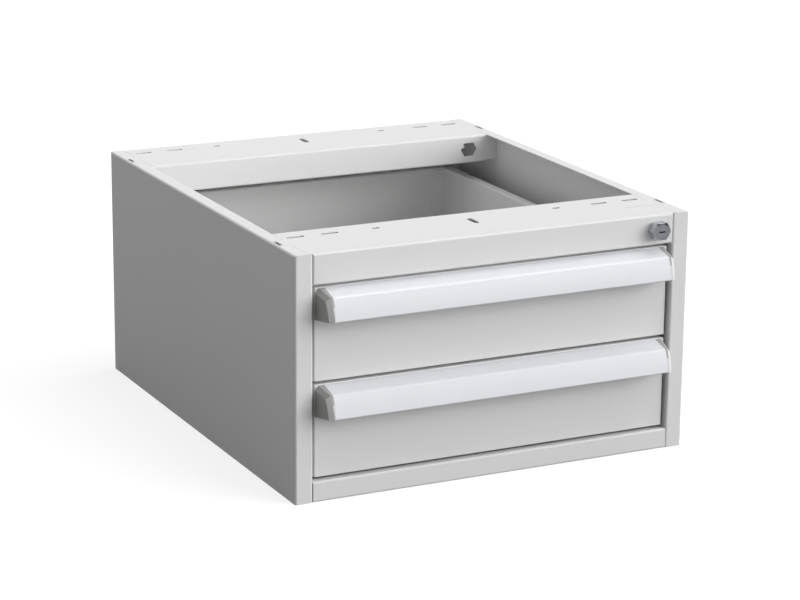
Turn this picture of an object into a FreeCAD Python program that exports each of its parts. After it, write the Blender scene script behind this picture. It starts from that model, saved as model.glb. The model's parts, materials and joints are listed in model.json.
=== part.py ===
import FreeCAD, Part
import math
import os
from functools import partial
from types import SimpleNamespace

import Sketcher
from FreeCAD import Rotation, Vector

# Drawer unit of folded sheet steel that hangs under a workbench: two drawers on telescopic slides,
# one lock that blocks both. Millimetres. X runs from left to right, Y from front to rear, Z up.
# The origin is under the middle of the unit, handles included, at the level of its base.

SIZES = {
    # cabinet, outside
    "cabinet_width": 490,
    "cabinet_depth": 560,
    "cabinet_height": 280,
    "shell_thickness": 1.2,
    "shell_bend": 2.4,
    "weld_gap": 0.4,
    "overcut": 1,
    # flanges of the side panels
    "front_flange": 21,
    "flange_return": 12,
    "top_flange": 16,
    "rear_flange": 15,
    # fixing rails across the open top, and the sill under the drawers
    "rail_height": 35,
    "rail_depth": 100,
    "rail_lip": 14,
    "rail_return": 12,
    "end_flange": 13,
    "end_bend": 1.6,
    "sill_height": 23.4,
    "floor_edge": 15,
    "rear_upstand": 20,
    # slots for the bench fixings, placed from the middle and from the front of each rail
    "slot_width": 6,
    "slot_length": 22,
    "outer_slot_inset": 34,
    "inner_slot_inset": 75,
    "slot_row": 76,
    "short_slot_length": 10,
    "short_slot_inset": 131,
    "cross_slot_width": 7,
    "cross_slot_length": 24,
    "cross_slot_row": 62,
    "tab_length": 25,
    "tab_reach": 13,
    "tab_row": 57.5,
    "edge_slot_width": 4,
    "edge_slot_length": 19,
    "edge_slot_inset": 5.5,
    "relief_length": 42,
    "relief_width": 1.2,
    # rivets of the back panel
    "rivet_radius": 2,
    "rivet_head_radius": 3.4,
    "rivet_head": 1,
    "rivet_inset": 7.5,
    "lip_rivet_rise": 5,
    "rivet_pitch": 95,
    "rivet_tail": 0.6,
    "rivet_clearance": 0.05,
    # uprights that carry the slides
    "upright_row": 70,
    "upright_width": 40,
    "upright_foot": 12,
    "upright_head": 8,
    "upright_gap": 1,
    # drawer fronts and trays
    "front_gap": 3.2,
    "rail_gap": 3.6,
    "side_reveal": 3.7,
    "front_recess": 5,
    "front_depth": 18,
    "front_sheet": 1,
    "front_bend": 1.6,
    "front_hem": 12,
    "front_land": 24,
    "tray_side_room": 36.5,
    "tray_rear_room": 24,
    "tray_height": 79,
    "tray_sheet": 1,
    "tray_bend": 2,
    "tray_lift": 8,
    "tray_flange": 10,
    "tray_fold": 20,
    "back_flange": 8,
    # telescopic slides, three members each
    "slide_length": 500,
    "slide_height": 45,
    "slide_depth": 12.7,
    "slide_sheet": 1.2,
    "slide_lip": 4,
    "slide_mouth": 10,
    "slide_start": 26,
    "slide_lift": 35.5,
    "race_height": 3.3,
    "race_gap": 0.3,
    "middle_web": 3.4,
    "middle_mouth": 10.6,
    "inner_mouth": 6,
    "cage_width": 4.4,
    "cage_length": 200,
    "cage_start": 119,
    "slide_screw_inset": 54,
    # screws
    "screw_radius": 2,
    "screw_head_radius": 4,
    "screw_head": 1.7,
    "screw_bevel": 0.5,
    "screw_end": 1.5,
    "screw_clearance": 0.05,
    "handle_screw_place": 150,
    "front_screw_place": 160,
    "front_screw_inset": 7,
    # handles
    "handle_drop": 1,
    "handle_reach": 31.5,
    "handle_height": 31.3,
    "handle_ridge": 23,
    "handle_slope": 5.8,
    "handle_bulge": 1.1,
    "handle_wall": 2.2,
    "handle_ridge_bend": 4,
    "handle_edge": 0.9,
    "cap_length": 11.8,
    "cap_margin": 0.5,
    "cap_taper": 5.4,
    "cap_bevel": 4.5,
    "cap_rear_drop": 3.7,
    "cap_plug": 8,
    # lock
    "lock_inset": 42,
    "lock_drop": 17.5,
    "lock_hole_flats": 17,
    "lock_hole_corners": 22.6,
    "lock_hole_key": 2.4,
    "lock_hole_play": 0.1,
    "lock_reach": 12,
    "lock_head_flats": 19.4,
    "lock_head_corners": 25,
    "lock_face_radius": 8.8,
    "lock_bevel": 2.4,
    "barrel_radius": 8.2,
    "barrel_length": 21.7,
    "nut_flats": 22,
    "nut_thickness": 4,
    "plug_radius": 6,
    "plug_head_radius": 7.6,
    "plug_head": 1.8,
    "plug_recess": 0.4,
    "plug_tail": 22,
    "running_gap": 0.05,
    "keyway_length": 8.4,
    "keyway_width": 1.8,
    "keyway_depth": 7,
    "crank_radius": 12,
    "crank_pin": 2.5,
    "crank_pin_length": 6,
    "cam_thickness": 2.5,
    "cam_width": 12,
    "cam_screw_radius": 2.8,
    "cam_screw_head": 1.8,
    "cam_screw_depth": 6,
    # locking bar
    "bar_row": 27,
    "bar_thickness": 2,
    "bar_width": 14,
    "bar_wall_gap": 2.8,
    "bar_base": 20,
    "bar_arm_height": 12,
    "bar_slot_play": 0.55,
    "finger_reach": 16,
    "finger_height": 6,
    "finger_clearance": 1.5,
    "guide_height": 10,
    "guide_wall": 3,
    "guide_gap": 0.3,
    "lower_guide_rise": 50,
    "upper_guide_drop": 52,
    # catches on the drawers
    "catch_gap": 3,
    "catch_thickness": 2,
    "catch_length": 30,
    "catch_reach": 10.5,
    "catch_height": 15,
    "catch_clearance": 2,
}

doc = FreeCAD.newDocument("under_bench_drawer_unit")
sheet = doc.addObject("Spreadsheet::Sheet", "sizes")
for row, (alias, figure) in enumerate(SIZES.items(), start=1):
    sheet.set(f"A{row}", alias.replace("_", " "))
    sheet.set(f"B{row}", str(figure))
    sheet.setAlias(f"B{row}", alias)
doc.recompute()


class Size:
    """A length worked out from the sheet, kept as the formula that the document follows."""

    def __init__(self, text):
        self.text = text

    def __add__(self, other):
        return Size(f"({self.text} + {spell(other)})")

    def __sub__(self, other):
        return Size(f"({self.text} - {spell(other)})")

    def __mul__(self, other):
        return Size(f"({self.text} * {spell(other)})")

    def __truediv__(self, other):
        return Size(f"({self.text} / {spell(other)})")

    def __rsub__(self, other):
        return Size(f"({spell(other)} - {self.text})")

    def __neg__(self):
        return Size(f"(0 - {self.text})")

    __radd__ = __add__
    __rmul__ = __mul__

    def __float__(self):
        return float(sheet.evalExpression(self.text))


def spell(amount):
    """The formula text of a size or a plain number."""
    return amount.text if isinstance(amount, Size) else f"{amount:.10g}"


S = SimpleNamespace(**{alias: Size(f"sizes.{alias}") for alias in SIZES})
SIDES = {"left": -1, "right": 1}
FULL_TURN = 360

# Shared places, all worked out from the sheet.
half_width = S.cabinet_width / 2
wall_face = half_width - S.shell_thickness
flange_edge = half_width - S.front_flange
top_flange_edge = half_width - S.top_flange
inner_bend = S.shell_bend - S.shell_thickness
handle_overhang = S.handle_reach - S.front_recess
front_plane = (handle_overhang - S.cabinet_depth - S.rivet_head) / 2
front_height = (S.cabinet_height - S.rail_height - S.sill_height - 2 * S.front_gap - S.rail_gap) / 2
lower_level = S.sill_height + S.front_gap
drawer_pitch = front_height + S.front_gap
DRAWERS = {"lower": lower_level, "upper": lower_level + drawer_pitch}
front_half = flange_edge - S.side_reveal
tray_half = half_width - S.tray_side_room
tray_start = S.front_recess + S.front_depth
tray_end = S.cabinet_depth - S.tray_rear_room
lock_place = half_width - S.lock_inset
lock_level = S.cabinet_height - S.lock_drop
slide_half = S.slide_height / 2
slide_back = tray_half + S.slide_depth
slide_end = S.slide_start + S.slide_length

parts = []


def bind(item, path, amount):
    """Tie a property of an object to its formula."""
    item.setExpression(path, spell(amount))


def place_part(item, level):
    """Stand a part on the front plane of the cabinet, at its level."""
    bind(item, "Placement.Base.y", front_plane)
    bind(item, "Placement.Base.z", level)
    parts.append(item)


def new_body(label, level=0):
    body = doc.addObject("PartDesign::Body", label)
    body.Label = label
    place_part(body, level)
    return body


def hold(sketch, kind, *where):
    """Add a dimension whose last argument is a size, and tie it to the sheet."""
    *ends, amount = where
    index = sketch.addConstraint(Sketcher.Constraint(kind, *ends, float(amount)))
    bind(sketch, f"Constraints[{index}]", amount)


def hold_point(sketch, geometry, end, place):
    hold(sketch, "DistanceX", -1, 1, geometry, end, place[0])
    hold(sketch, "DistanceY", -1, 1, geometry, end, place[1])


def polygon(*points):
    """A closed outline with straight sides."""
    def draw(sketch):
        first = sketch.GeometryCount
        corners = [Vector(float(x), float(y), 0) for x, y in points]
        for start, end in zip(corners, corners[1:] + corners[:1]):
            sketch.addGeometry(Part.LineSegment(start, end))
        for number, point in enumerate(points):
            following = first + (number + 1) % len(points)
            sketch.addConstraint(Sketcher.Constraint("Coincident", first + number, 2, following, 1))
            hold_point(sketch, first + number, 1, point)
    return draw


def rectangle(left, right, low, high):
    return polygon((left, low), (right, low), (right, high), (left, high))


def hexagon(across, level, flats, corners):
    """Flats above and below, a corner at each side. Its flanks lean by 60 degrees, whatever the two sizes."""
    shoulder = corners / 2 - flats / (2 * math.tan(math.pi / 3))
    return polygon((across - corners / 2, level), (across - shoulder, level - flats / 2),
                   (across + shoulder, level - flats / 2), (across + corners / 2, level),
                   (across + shoulder, level + flats / 2), (across - shoulder, level + flats / 2))


def corner_waste(corner, inward, radius):
    """What rounding a corner takes off: the corner itself and an arc across it."""
    def draw(sketch):
        across, level = corner
        ends = ((across + inward[0] * radius, level), (across, level + inward[1] * radius))
        middle = Vector(float(ends[0][0]), float(ends[1][1]), 0)
        spots = [Vector(float(x), float(y), 0) for x, y in (ends[0], corner, ends[1])]
        crest = middle + (spots[1] - middle).normalize() * float(radius)
        for start, end in zip(spots, spots[1:]):
            sketch.addGeometry(Part.LineSegment(start, end))
        arc = sketch.addGeometry(Part.Arc(spots[0], crest, spots[2]))
        first, last = (1, 2) if sketch.getPoint(arc, 1).distanceToPoint(spots[0]) < 1e-6 else (2, 1)
        for one, end, other, start in ((0, 2, 1, 1), (0, 1, arc, first), (1, 2, arc, last)):
            sketch.addConstraint(Sketcher.Constraint("Coincident", one, end, other, start))
        hold_point(sketch, 0, 1, ends[0])
        hold_point(sketch, 1, 1, corner)
        hold_point(sketch, 1, 2, ends[1])
        hold(sketch, "Radius", arc, radius)
    return draw


def circle(across, level, radius):
    def draw(sketch):
        middle = Vector(float(across), float(level), 0)
        ring = sketch.addGeometry(Part.Circle(middle, Vector(0, 0, 1), float(radius)))
        hold(sketch, "Radius", ring, radius)
        hold_point(sketch, ring, 3, (across, level))
    return draw


def slot(across, level, length, width, along="x"):
    """A slot with round ends, its long way along the sketch's x or y."""
    def draw(sketch):
        reach = (length - width) / 2
        ends = [(across - reach, level), (across + reach, level)] if along == "x" else \
            [(across, level - reach), (across, level + reach)]
        turn = math.pi if along == "x" else -math.pi / 2
        radius = float(width) / 2
        middles = [Vector(float(x), float(y), 0) for x, y in ends]
        arcs = []
        for middle, start in zip(middles, (turn - math.pi / 2, turn + math.pi / 2)):
            rim = Part.Circle(middle, Vector(0, 0, 1), radius)
            arcs.append(sketch.addGeometry(Part.ArcOfCircle(rim, start, start + math.pi)))
        for one, other in (arcs, arcs[::-1]):
            side = Part.LineSegment(sketch.getPoint(one, 2), sketch.getPoint(other, 1))
            line = sketch.addGeometry(side)
            sketch.addConstraint(Sketcher.Constraint("Tangent", one, 2, line, 1))
            sketch.addConstraint(Sketcher.Constraint("Tangent", line, 2, other, 1))
        sketch.addConstraint(Sketcher.Constraint("Equal", *arcs))
        hold(sketch, "Radius", arcs[0], width / 2)
        for arc, end in zip(arcs, ends):
            hold_point(sketch, arc, 3, end)
    return draw


def sketch_on(body, plane, start, loops):
    """A sketch on one of the body's own origin planes, moved along that plane's world axis."""
    sketch = body.newObject("Sketcher::SketchObject", body.Name + "_sketch")
    origin = next(item for item in body.Origin.OriginFeatures if item.Role == plane)
    sketch.AttachmentSupport = [(origin, "")]
    sketch.MapMode = "FlatFace"
    bind(sketch, "AttachmentOffset.Base.z", -1 * start if plane == "XZ_Plane" else start)
    for draw in loops:
        draw(sketch)
    return sketch


def settle(body, feature):
    """Recompute and stop where the new feature did not come out sound."""
    doc.recompute()
    if feature.Shape.isNull() or not feature.Shape.isValid():
        raise ValueError(f"{body.Label}: {feature.Name} failed")
    return feature


def pad(body, plane, start, length, *loops):
    """Grow the outlines from start along the plane's positive world axis."""
    feature = body.newObject("PartDesign::Pad", body.Name + "_pad")
    feature.Profile = sketch_on(body, plane, start, loops)
    feature.Reversed = plane == "XZ_Plane"
    bind(feature, "Length", length)
    return settle(body, feature)


def pocket(body, plane, start, length, *loops):
    """Cut the outlines away from start along the plane's positive world axis."""
    before = body.Tip.Shape.Volume
    sketch = sketch_on(body, plane, start, loops)
    feature = body.newObject("PartDesign::Pocket", body.Name + "_pocket")
    feature.Profile = sketch
    feature.Reversed = plane != "XZ_Plane"
    bind(feature, "Length", length)
    settle(body, feature)
    if feature.Shape.Volume > before - 1e-6:
        raise ValueError(f"{body.Label}: a pocket cuts nothing")
    return feature


def turn_away(body, across, level, *outline):
    """Cut a ring away: the outline, in Y and Z, turned about the line along Y through across and level."""
    sketch = sketch_on(body, "YZ_Plane", across, [polygon(*outline)])
    rows = (outline[0][0], outline[2][0])
    ends = [Vector(float(row), float(level), 0) for row in rows]
    axis = sketch.addGeometry(Part.LineSegment(*ends), True)
    for end, row in enumerate(rows, start=1):
        hold_point(sketch, axis, end, (row, level))
    groove = body.newObject("PartDesign::Groove", body.Name + "_groove")
    groove.Profile = sketch
    groove.ReferenceAxis = (sketch, ["Axis0"])
    groove.Angle = FULL_TURN
    return settle(body, groove)


def edges_at(shape, axis, places):
    """Names of the straight edges along an axis that pass through the given places of the other two."""
    others = [number for number in range(3) if "XYZ"[number] != axis]
    spots = [tuple(float(amount) for amount in place) for place in places]
    names = []
    for number, edge in enumerate(shape.Edges, start=1):
        ends = [vertex.Point for vertex in edge.Vertexes]
        if len(ends) != 2 or any(abs(ends[0][way] - ends[1][way]) > 1e-4 for way in others):
            continue
        if any(all(abs(ends[0][way] - spot) < 1e-3 for way, spot in zip(others, pair)) for pair in spots):
            names.append(f"Edge{number}")
    return names


def dress_edges(kind, size_name, body, amount, names):
    """Fillet or chamfer the named edges of the body as it stands."""
    if not names:
        raise ValueError(f"{body.Label}: no edge to dress")
    base = body.Tip
    feature = body.newObject(f"PartDesign::{kind}", f"{body.Name}_{kind.lower()}")
    feature.Base = (base, names)
    bind(feature, size_name, amount)
    return settle(body, feature)


def dress(kind, size_name, body, amount, axis, *places):
    """Fillet or chamfer the edges along an axis at the given places."""
    return dress_edges(kind, size_name, body, amount, edges_at(body.Tip.Shape, axis, places))


round_edges = partial(dress, "Fillet", "Radius")


# --- cabinet ---------------------------------------------------------------------------------

def side_panel(name, side):
    """Wall with a returned flange in front and flat flanges on top and at the rear."""
    body = new_body(f"{name}_side_panel")
    sheet_edge, bend = S.shell_thickness, S.shell_bend
    pad(body, "XY_Plane", 0, S.cabinet_height, polygon(
        (side * half_width, 0), (side * flange_edge, 0), (side * flange_edge, S.flange_return),
        (side * (flange_edge + sheet_edge), S.flange_return),
        (side * (flange_edge + sheet_edge), sheet_edge),
        (side * wall_face, sheet_edge), (side * wall_face, S.cabinet_depth - sheet_edge),
        (side * (half_width - S.rear_flange), S.cabinet_depth - sheet_edge),
        (side * (half_width - S.rear_flange), S.cabinet_depth), (side * half_width, S.cabinet_depth)))
    pad(body, "XZ_Plane", 0, S.cabinet_depth, rectangle(
        side * top_flange_edge, side * wall_face, S.cabinet_height - sheet_edge, S.cabinet_height))
    round_edges(body, bend, "Z", (side * half_width, 0), (side * half_width, S.cabinet_depth),
                (side * flange_edge, 0))
    round_edges(body, inner_bend, "Z", (side * wall_face, sheet_edge),
                (side * (flange_edge + sheet_edge), sheet_edge),
                (side * wall_face, S.cabinet_depth - sheet_edge))
    pocket(body, "XZ_Plane", 0, S.cabinet_depth,
           corner_waste((side * half_width, S.cabinet_height), (-side, -1), bend))
    trim = sheet_edge + S.weld_gap
    for level in (0, S.cabinet_height - trim):
        pocket(body, "XY_Plane", level, trim, rectangle(
            side * (flange_edge - S.overcut), side * (flange_edge + sheet_edge),
            S.shell_bend, S.flange_return + S.overcut))
    notch = S.tab_length / 2 + S.weld_gap
    for row in (S.tab_row, S.cabinet_depth - S.tab_row):
        pocket(body, "XY_Plane", S.cabinet_height - sheet_edge, sheet_edge, rectangle(
            side * (top_flange_edge - S.overcut), side * (top_flange_edge + S.tab_reach + S.weld_gap),
            row - notch, row + notch))
    pocket(body, "XZ_Plane", S.cabinet_depth - sheet_edge, sheet_edge, *(
        circle(side * (half_width - S.rivet_inset), level, S.rivet_radius + S.rivet_clearance)
        for level in rivet_levels))


rivet_levels = [S.cabinet_height / 2 + step * S.rivet_pitch for step in (-1, 0, 1)]
rivet_places = [step * S.rivet_pitch for step in (-1, 1)]
lip_rivet_level = S.cabinet_height - S.rail_lip + S.lip_rivet_rise
floor_rivet_level = S.rear_upstand - S.rivet_inset


def rail_slots(row):
    """The bench fixing slots of one rail whose front is at row."""
    loops = [slot(0, row + S.cross_slot_row, S.cross_slot_length, S.cross_slot_width, "y")]
    lengths = ((S.outer_slot_inset, S.slot_length), (S.inner_slot_inset, S.slot_length),
               (S.short_slot_inset, S.short_slot_length))
    for side in SIDES.values():
        for inset, length in lengths:
            loops.append(slot(side * (half_width - inset), row + S.slot_row, length, S.slot_width))
    return loops


def top_rail(label, row, section_half, tab_row, wings=()):
    """Channel across the top: face, slotted plate and rear lip, with a tab into each side panel.

    Each wing widens the plate at both ends: how far out it reaches, and where it starts and ends."""
    body = new_body(label)
    sheet_edge, bend, top = S.shell_thickness, S.shell_bend, S.cabinet_height
    low, rear = top - S.rail_height, row + S.rail_depth
    pad(body, "YZ_Plane", -section_half, 2 * section_half, polygon(
        (row, low), (row + S.rail_return, low), (row + S.rail_return, low + sheet_edge),
        (row + sheet_edge, low + sheet_edge), (row + sheet_edge, top - sheet_edge),
        (rear - sheet_edge, top - sheet_edge), (rear - sheet_edge, top - S.rail_lip),
        (rear, top - S.rail_lip), (rear, top), (row, top)))
    round_edges(body, bend, "X", (row, top), (rear, top), (row, low))
    round_edges(body, inner_bend, "X", (row + sheet_edge, top - sheet_edge),
                (rear - sheet_edge, top - sheet_edge), (row + sheet_edge, low + sheet_edge))
    plate_edge = top_flange_edge - S.weld_gap
    tab_edge = top_flange_edge + S.tab_reach
    slot_place = half_width - S.edge_slot_inset
    for side in SIDES.values():
        pad(body, "XY_Plane", top - sheet_edge, sheet_edge, rectangle(
            side * (plate_edge - S.rail_lip), side * tab_edge,
            tab_row - S.tab_length / 2, tab_row + S.tab_length / 2))
    for side in SIDES.values():
        for width, start, end in wings:
            pad(body, "XY_Plane", top - sheet_edge, sheet_edge, rectangle(
                side * (section_half - S.rail_lip), side * width, start, end))
    pocket(body, "XY_Plane", top - 2 * sheet_edge, 3 * sheet_edge, *rail_slots(row), *(
        slot(side * slot_place, tab_row, S.edge_slot_length, S.edge_slot_width, "y")
        for side in SIDES.values()))
    return body


def lock_hole(body, row):
    """Six-sided hole for the lock barrel, with a key tab left standing in it."""
    flank = lock_place - S.lock_hole_corners / 2
    key = S.lock_hole_key
    pocket(body, "XZ_Plane", row - S.shell_thickness, 3 * S.shell_thickness,
           hexagon(lock_place, lock_level, S.lock_hole_flats, S.lock_hole_corners))
    pad(body, "XZ_Plane", row, S.shell_thickness,
        rectangle(flank, flank + 2 * key, lock_level + key, lock_level + 2 * key))


def front_top_rail():
    """Stands between the front flanges and carries the lock."""
    section_half = flange_edge - S.weld_gap
    sheet_edge, top = S.shell_thickness, S.cabinet_height
    plate_edge = top_flange_edge - S.weld_gap
    wing = (plate_edge, S.shell_bend + S.weld_gap, S.rail_depth - S.shell_bend)
    body = top_rail("front_top_rail", 0, section_half, S.tab_row, (wing,))
    for side in SIDES.values():
        pad(body, "XY_Plane", top - S.rail_height + sheet_edge, S.rail_height - 2 * sheet_edge, rectangle(
            side * (section_half - sheet_edge), side * section_half, sheet_edge, S.end_flange))
        pocket(body, "XY_Plane", top - S.rail_height, S.rail_height,
               corner_waste((side * section_half, 0), (-side, 1), S.end_bend))
    relief_row = S.tab_row - S.tab_length / 2
    pocket(body, "XY_Plane", top - 2 * sheet_edge, 3 * sheet_edge, rectangle(
        plate_edge - S.relief_length, plate_edge + S.overcut, relief_row - S.relief_width, relief_row))
    lock_hole(body, 0)


def rear_top_rail():
    """Reaches the side walls under their top flanges."""
    row = S.cabinet_depth - S.rail_depth
    section_half = top_flange_edge - S.weld_gap
    body = top_rail("rear_top_rail", row, section_half, S.cabinet_depth - S.tab_row)
    sheet_edge, top = S.shell_thickness, S.cabinet_height
    low, face_top = top - S.rail_height, top - sheet_edge - S.weld_gap
    face_end = wall_face - S.weld_gap
    for side in SIDES.values():
        pad(body, "XZ_Plane", row, sheet_edge, rectangle(
            side * (section_half - S.rail_lip), side * face_end, low + S.shell_bend, face_top))
        pad(body, "XY_Plane", low + S.shell_bend, face_top - low - S.shell_bend, rectangle(
            side * (face_end - sheet_edge), side * face_end, row, row + S.end_flange))
    lock_hole(body, row)
    pocket(body, "XZ_Plane", S.cabinet_depth - sheet_edge, sheet_edge, *(
        circle(place, lip_rivet_level, S.rivet_radius + S.rivet_clearance) for place in rivet_places))


def floor_panel():
    """Floor folded up into the sill in front and into low edges at the other three sides."""
    body = new_body("floor_panel")
    sheet_edge, bend, rear = S.shell_thickness, S.shell_bend, S.cabinet_depth
    section_half, wing_edge = flange_edge - S.weld_gap, wall_face - S.weld_gap
    pad(body, "YZ_Plane", -section_half, 2 * section_half, polygon(
        (0, 0), (rear, 0), (rear, S.rear_upstand), (rear - sheet_edge, S.rear_upstand),
        (rear - sheet_edge, sheet_edge), (sheet_edge, sheet_edge), (sheet_edge, S.sill_height - sheet_edge),
        (S.rail_return, S.sill_height - sheet_edge), (S.rail_return, S.sill_height), (0, S.sill_height)))
    round_edges(body, bend, "X", (0, 0), (rear, 0), (0, S.sill_height))
    round_edges(body, inner_bend, "X", (sheet_edge, sheet_edge), (rear - sheet_edge, sheet_edge),
                (sheet_edge, S.sill_height - sheet_edge))
    for side in SIDES.values():
        pad(body, "XY_Plane", 0, sheet_edge, rectangle(
            side * (section_half - S.rail_lip), side * wing_edge, bend + S.weld_gap,
            rear - bend - S.weld_gap))
        pad(body, "XY_Plane", 0, S.floor_edge, rectangle(
            side * (wing_edge - sheet_edge), side * wing_edge, S.end_flange, rear - S.rear_flange))
    pocket(body, "XZ_Plane", rear - sheet_edge, sheet_edge, *(
        circle(place, floor_rivet_level, S.rivet_radius + S.rivet_clearance) for place in rivet_places))


def rivet_spots():
    """Places of the back panel's rivets, across and up."""
    edge = half_width - S.rivet_inset
    return [(side * edge, level) for side in SIDES.values() for level in rivet_levels] + [
        (place, level) for place in rivet_places for level in (lip_rivet_level, floor_rivet_level)]


def back_panel():
    """Flat panel laid against the inside of the rear flanges."""
    body = new_body("back_panel")
    trim = S.shell_bend + S.weld_gap
    edge = half_width - trim
    start = S.cabinet_depth - 2 * S.shell_thickness
    pad(body, "XZ_Plane", start, S.shell_thickness,
        rectangle(-edge, edge, trim, S.cabinet_height - trim))
    pocket(body, "XZ_Plane", start, S.shell_thickness, *(
        circle(across, level, S.rivet_radius + S.rivet_clearance) for across, level in rivet_spots()))


def upright(name, side, row):
    """Hat-shaped upright on the side wall; the slides are screwed to its crown."""
    body = new_body(name)
    sheet_edge = S.shell_thickness
    crown, foot = slide_back, S.upright_foot
    rear = row + S.upright_width
    base = S.floor_edge + S.upright_gap
    top = DRAWERS["upper"] + S.slide_lift + slide_half + S.upright_head
    pad(body, "XY_Plane", base, top - base, polygon(
        (side * wall_face, row - foot), (side * wall_face, row + sheet_edge),
        (side * (crown + sheet_edge), row + sheet_edge), (side * (crown + sheet_edge), rear - sheet_edge),
        (side * wall_face, rear - sheet_edge), (side * wall_face, rear + foot),
        (side * (wall_face - sheet_edge), rear + foot), (side * (wall_face - sheet_edge), rear),
        (side * crown, rear), (side * crown, row), (side * (wall_face - sheet_edge), row),
        (side * (wall_face - sheet_edge), row - foot)))
    round_edges(body, S.shell_bend, "Z", (side * crown, row), (side * crown, rear))
    round_edges(body, inner_bend, "Z", (side * (crown + sheet_edge), row + sheet_edge),
                (side * (crown + sheet_edge), rear - sheet_edge))
    middle = row + S.upright_width / 2
    pocket(body, "YZ_Plane", side * (crown + sheet_edge / 2) - sheet_edge, 2 * sheet_edge, *(
        circle(middle, level + S.slide_lift, S.screw_radius + S.screw_clearance)
        for level in DRAWERS.values()))


front_upright_row = S.upright_row
rear_upright_row = S.slide_start + slide_end - S.upright_row - S.upright_width
UPRIGHT_ROWS = {"front": front_upright_row, "rear": rear_upright_row}


# --- slides ----------------------------------------------------------------------------------

def channel(body, side, web, mouth, height, facing, lip):
    """One slide member: a channel with its web at one side; facing is -1 where it opens to the tray."""
    skin = S.slide_sheet

    def at(depth):
        return side * (slide_back - depth)

    outline = [(at(web), -height), (at(mouth), -height)]
    if lip is not None:
        outline += [(at(mouth), lip - height), (at(mouth + facing * skin), lip - height),
                    (at(mouth + facing * skin), skin - height)]
    else:
        outline += [(at(mouth), skin - height)]
    outline += [(at(web - facing * skin), skin - height)]
    mirrored = [(across, -1 * level) for across, level in outline[::-1]]
    return pad(body, "XZ_Plane", S.slide_start, S.slide_length, polygon(*outline, *mirrored))


outer_half = slide_half
middle_half = outer_half - S.slide_sheet - S.race_height
inner_half = middle_half - S.slide_sheet - S.race_height


def slide_members(drawer, level, name, side):
    """The cabinet, middle and drawer members of one telescopic slide, nested in each other."""
    centre = level + S.slide_lift
    hole = S.screw_radius + S.screw_clearance
    outer = new_body(f"{drawer}_{name}_cabinet_slide", centre)
    channel(outer, side, 0, S.slide_mouth, outer_half, -1, S.slide_lip)
    bore_start = side * (slide_back - S.slide_sheet / 2) - S.slide_sheet
    pocket(outer, "YZ_Plane", bore_start, 2 * S.slide_sheet, *(
        circle(row + S.upright_width / 2, 0, hole) for row in UPRIGHT_ROWS.values()))
    middle = new_body(f"{drawer}_{name}_middle_slide", centre)
    channel(middle, side, S.middle_web, S.middle_mouth, middle_half, -1, S.slide_lip)
    inner = new_body(f"{drawer}_{name}_drawer_slide", centre)
    channel(inner, side, S.slide_depth, S.inner_mouth, inner_half, 1, None)
    bore_start = side * (tray_half + S.slide_sheet / 2) - S.slide_sheet
    pocket(inner, "YZ_Plane", bore_start, 2 * S.slide_sheet, *(
        circle(row, 0, hole) for row in tray_screw_rows))


tray_screw_rows = (S.slide_start + S.slide_screw_inset, slide_end - S.slide_screw_inset)


def boxes(label, level, corners):
    """A part of several equal strips, each a box given by its low corner and its size."""
    strips = []
    for number, (corner, extent) in enumerate(corners):
        strip = doc.addObject("Part::Box", f"{label}_{number}")
        for way, amount in zip("xyz", corner):
            bind(strip, f"Placement.Base.{way}", amount)
        for size_name, amount in zip(("Length", "Width", "Height"), extent):
            bind(strip, size_name, amount)
        strips.append(strip)
    group = doc.addObject("Part::Compound", label)
    group.Label = label
    group.Links = strips
    place_part(group, level)


def ball_cages(drawer, level):
    """Strips that hold the bearing balls, between the members of both slides."""
    thickness = S.race_height - 2 * S.race_gap
    outer_reach = S.slide_mouth - S.slide_sheet - S.race_gap
    inner_reach = S.middle_mouth - S.slide_sheet - S.race_gap
    cages = {"outer": (outer_reach, middle_half), "inner": (inner_reach, inner_half)}
    widths = {"outer": S.cage_width, "inner": inner_reach - S.inner_mouth - S.race_gap}
    for kind, (reach, race) in cages.items():
        corners = []
        for side in SIDES.values():
            low_side = side * (slide_back - reach + widths[kind] / 2) - widths[kind] / 2
            for level_of_strip in (race + S.race_gap, -1 * (race + S.race_gap + thickness)):
                corners.append(((low_side, S.slide_start + S.cage_start, level_of_strip),
                                (widths[kind], S.cage_length, thickness)))
        boxes(f"{drawer}_{kind}_ball_cages", level + S.slide_lift, corners)


# --- drawers ---------------------------------------------------------------------------------

def drawer_front(drawer, level):
    """Folded pan: face, four returns, and lands at its rear that the tray is screwed to."""
    body = new_body(f"{drawer}_drawer_front", level)
    skin, face, rear = S.front_sheet, S.front_recess, S.front_recess + S.front_depth
    pad(body, "XZ_Plane", face, S.front_depth, rectangle(-front_half, front_half, 0, front_height))
    round_edges(body, S.front_bend, "X", (face, 0), (face, front_height))
    round_edges(body, S.front_bend, "Z", (-front_half, face), (front_half, face))
    pocket(body, "XZ_Plane", face + skin, S.front_depth - 2 * skin,
           rectangle(skin - front_half, front_half - skin, skin, front_height - skin))
    land = S.front_land
    pocket(body, "XZ_Plane", rear - skin, skin,
           rectangle(land - front_half, front_half - land, land, front_height - S.front_hem))
    pocket(body, "XZ_Plane", face, skin, *(
        circle(step * S.handle_screw_place, handle_screw_level, S.screw_radius + S.screw_clearance)
        for step in (-1, 0, 1)))
    pocket(body, "XZ_Plane", rear - skin, skin, *(
        circle(across, height, S.screw_radius + S.screw_clearance)
        for across, height in front_screw_spots()))


handle_screw_level = front_height - S.handle_drop - S.handle_height / 2


def front_screw_spots():
    """The screws that hold the inner front to the lands of the front, across and up."""
    low, middle = S.tray_lift + S.front_screw_inset, S.tray_lift + S.tray_height / 2
    edge = tray_half - S.front_screw_inset
    return [(side * across, height) for side in SIDES.values()
            for across, height in ((S.front_screw_place, low), (edge, middle))]


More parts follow.
